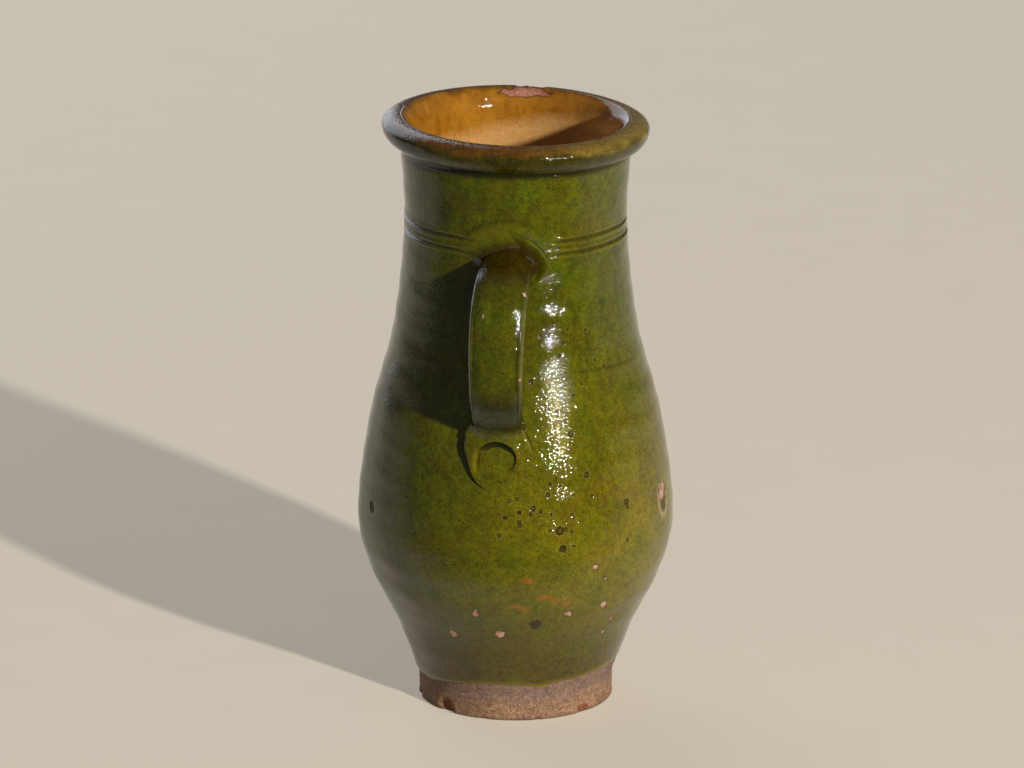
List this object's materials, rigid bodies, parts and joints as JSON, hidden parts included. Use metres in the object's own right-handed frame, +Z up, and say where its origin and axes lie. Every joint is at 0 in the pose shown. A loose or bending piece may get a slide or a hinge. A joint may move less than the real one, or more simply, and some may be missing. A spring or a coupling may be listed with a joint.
{
  "type": "glazed ceramic jug",
  "caption": "Wheel-thrown earthenware jug with a pear-shaped body, rolled rim and strap handle, glazed green outside and honey inside, for holding and pouring liquid.",
  "frame": {"origin": "middle of the flat foot, on the surface that the jug stands on", "axes": "+Z up along the axis the jug was thrown on, -Y towards the handle, +X to the right when the handle faces the viewer"},
  "size_m": [0.1576, 0.1755, 0.3001],
  "materials": {
    "terracotta": "bare fired earthenware, matt and slightly gritty",
    "rim_glaze": "green lead glaze worn thin to amber brown on the roll",
    "honey_glaze": "glossy honey-amber glaze",
    "green_glaze": "glossy mottled moss-green glaze with pits and small chips"
  },
  "bodies": {
    "root": {"thrown_body": "terracotta", "rolled_rim": "rim_glaze", "honey_lining": "honey_glaze", "green_coat": "green_glaze", "strap_handle": "green_glaze", "handle_collar": "green_glaze", "thumbed_pad": "green_glaze"}
  },
  "joints": []
}
